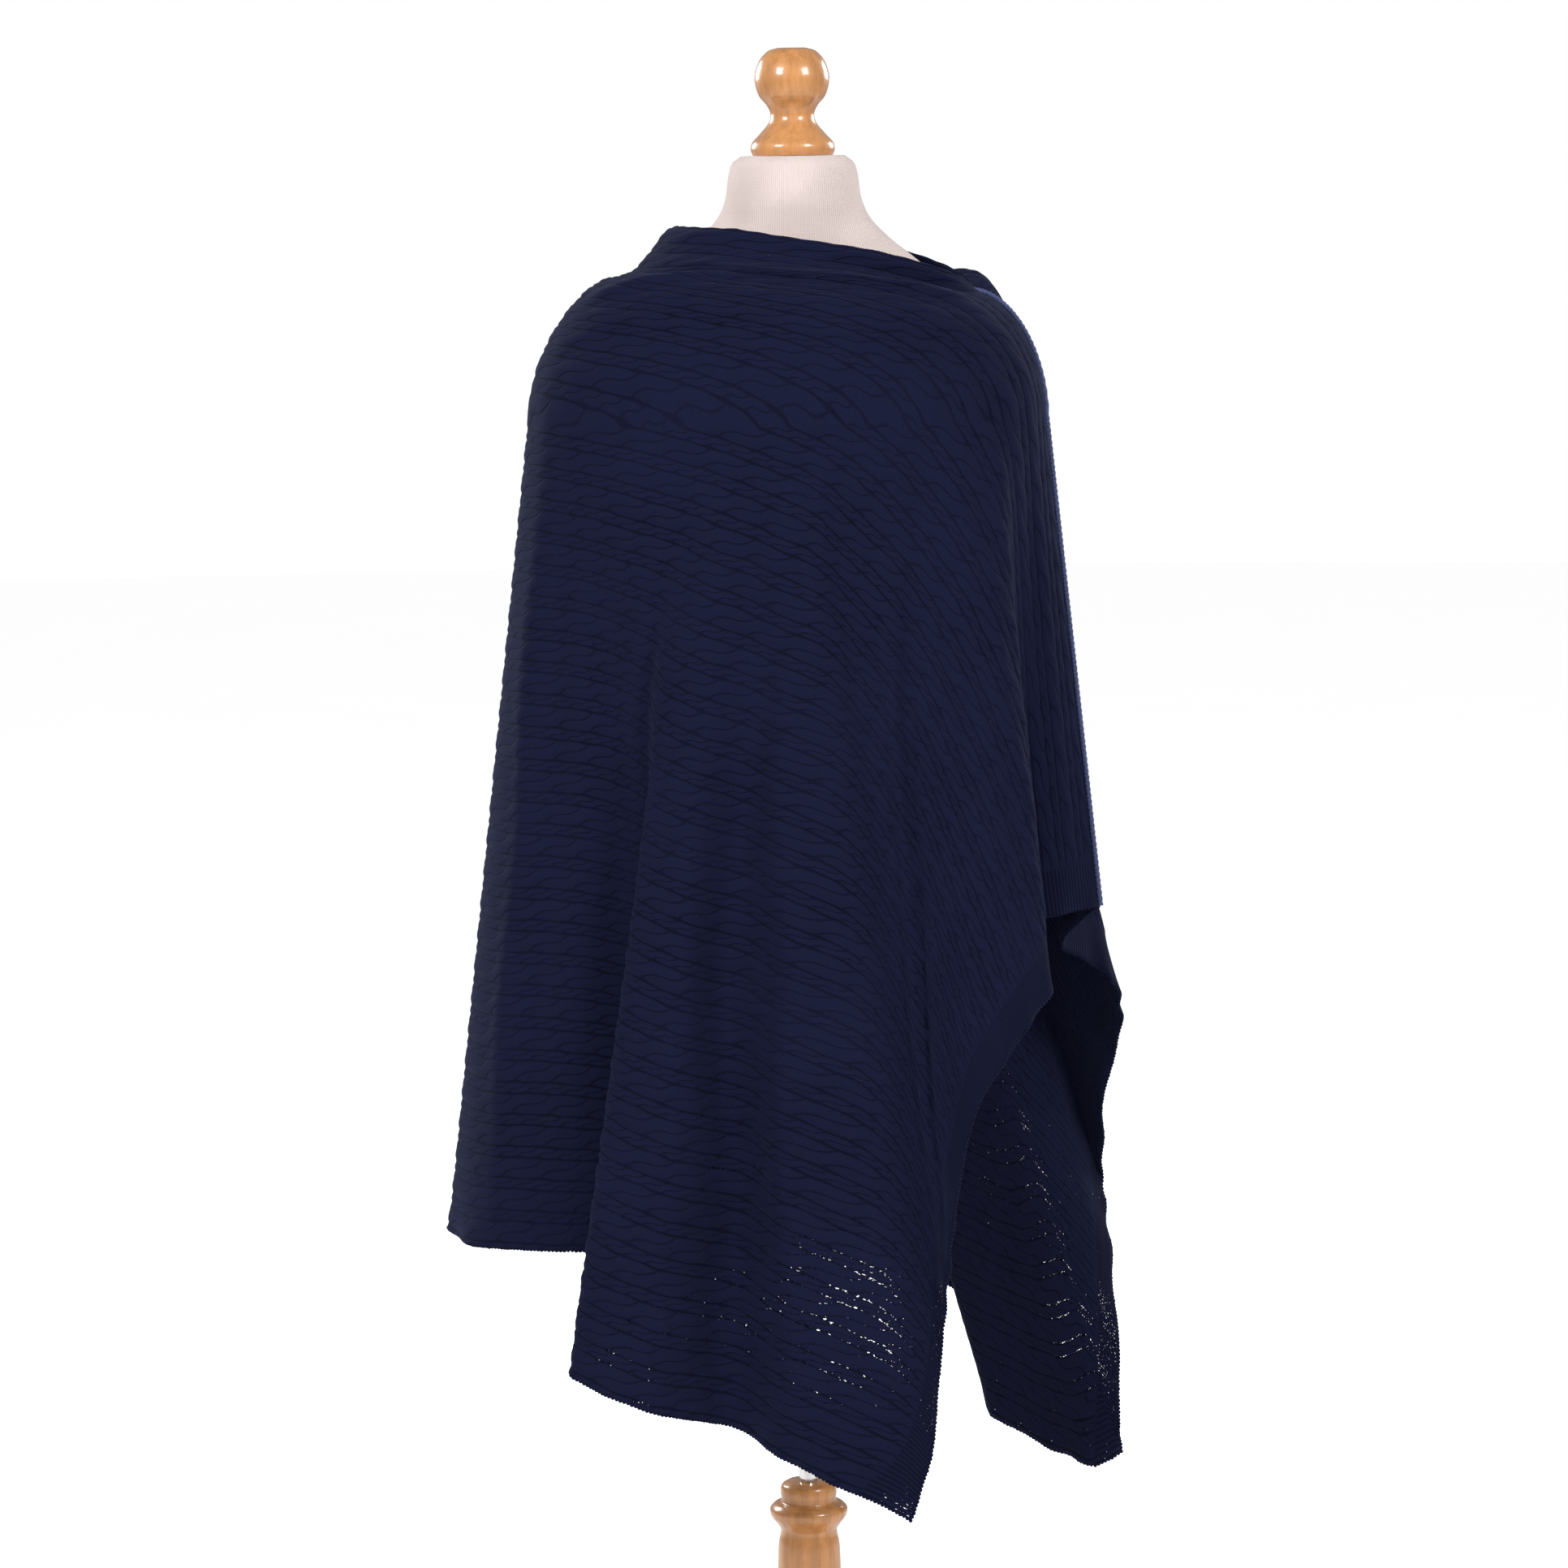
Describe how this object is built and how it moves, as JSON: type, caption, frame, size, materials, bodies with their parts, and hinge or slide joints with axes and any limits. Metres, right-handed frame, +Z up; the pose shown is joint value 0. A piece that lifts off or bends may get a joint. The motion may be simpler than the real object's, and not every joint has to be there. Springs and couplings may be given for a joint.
{
  "type": "cashmere poncho on dress form",
  "caption": "Asymmetric cable-knit poncho draped over a limbless dress form on a turned wooden stand.",
  "frame": {"origin": "centre of the underside of the round base, on the stand's axis", "axes": "+Z up along the stand, front of the garment towards -Y, wearer's left towards +X"},
  "size_m": [0.5926, 0.4166, 1.5733],
  "materials": {
    "wool": "soft brushed cable knit",
    "jersey": "fine ribbed jersey",
    "wood": "clear varnish",
    "chrome": "polished"
  },
  "bodies": {
    "root": {"front_panel": "wool", "back_panel": "wool", "side_seam": "wool", "dress_form": "jersey", "neck_knob": "wood", "stand_pole": "chrome", "stand_column": "wood", "stand_base": "wood"}
  },
  "joints": []
}
